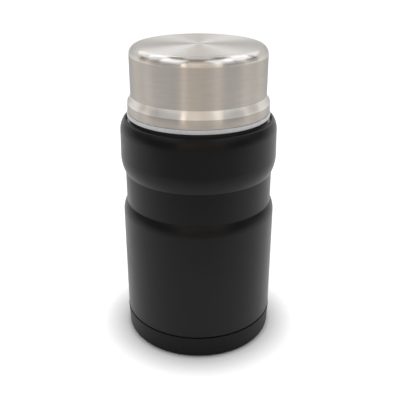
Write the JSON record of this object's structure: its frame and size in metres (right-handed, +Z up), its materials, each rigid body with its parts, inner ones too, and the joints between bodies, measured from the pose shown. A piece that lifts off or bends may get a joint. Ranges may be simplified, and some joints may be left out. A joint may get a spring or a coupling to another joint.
{
  "type": "insulated food jar",
  "caption": "Vacuum-insulated steel food jar with a black stepped body, a vented screw stopper and a brushed steel cup that screws on as the lid.",
  "frame": {"origin": "centre of the circle that the jar stands on", "axes": "+Z up along the jar's axis; the jar is round, so +X and +Y are free"},
  "size_m": [0.0956, 0.0956, 0.187],
  "materials": {
    "black_coat": "satin black coat on steel",
    "inner_steel": "plain drawn steel",
    "brushed_cup": "brushed around the axis",
    "bowl_steel": "satin steel",
    "foil": "bright copper foil",
    "getter": "pressed powder",
    "seal_glass": "fused glass bead",
    "base_plastic": "fine matt black",
    "pad_foam": "closed-cell foam",
    "stopper_plastic": "satin dark grey moulding",
    "insulation": "rigid foam",
    "clear_silicone": "milky silicone",
    "button_plastic": "satin grey moulding",
    "spring_steel": "bright wire",
    "ring_plastic": "satin light grey moulding",
    "black_silicone": "matt silicone"
  },
  "bodies": {
    "vessel": {"outer_shell": "black_coat", "inner_vessel": "inner_steel", "jacket_bottom": "inner_steel", "radiation_foil": "foil", "getter_holder": "inner_steel", "getter_pellet": "getter", "seal_bead": "seal_glass", "base_pad": "pad_foam", "base_cup": "base_plastic"},
    "stopper_seal": {"stopper_gasket": "clear_silicone"},
    "stopper": {"stopper_body": "stopper_plastic", "stopper_plug": "stopper_plastic", "stopper_foam": "insulation"},
    "vent": {"vent_button": "button_plastic", "vent_valve": "clear_silicone", "vent_clip": "spring_steel", "vent_spring": "spring_steel"},
    "cup_seal": {"cup_gasket": "black_silicone"},
    "cup": {"cup_shell": "brushed_cup", "cup_liner": "bowl_steel", "cup_ring": "ring_plastic"}
  },
  "joints": [
    {"name": "stopper_lift", "type": "slide", "parent": "vessel", "child": "stopper_seal", "axis": [0, 0, 1], "range_m": [0, 0.036]},
    {"name": "stopper_turn", "type": "hinge", "parent": "stopper_seal", "child": "stopper", "pos_m": [0, 0, 0], "axis": [0, 0, 1], "range_deg": [0, 1082]},
    {"name": "vent_press", "type": "slide", "parent": "stopper", "child": "vent", "axis": [0, 0, -1], "range_m": [0, 0.0025], "stiffness_N_per_m": 300, "springref_m": -0.001, "deforming": ["vent_spring"]},
    {"name": "cup_lift", "type": "slide", "parent": "stopper", "child": "cup_seal", "axis": [0, 0, 1], "range_m": [0, 0.036]},
    {"name": "cup_turn", "type": "hinge", "parent": "cup_seal", "child": "cup", "pos_m": [0, 0, 0], "axis": [0, 0, 1], "range_deg": [0, 1082]}
  ],
  "couplings": [
    {"joint": "stopper_turn", "follows": "stopper_lift", "rad_per_m": 523.6},
    {"joint": "cup_turn", "follows": "cup_lift", "rad_per_m": 523.6}
  ]
}
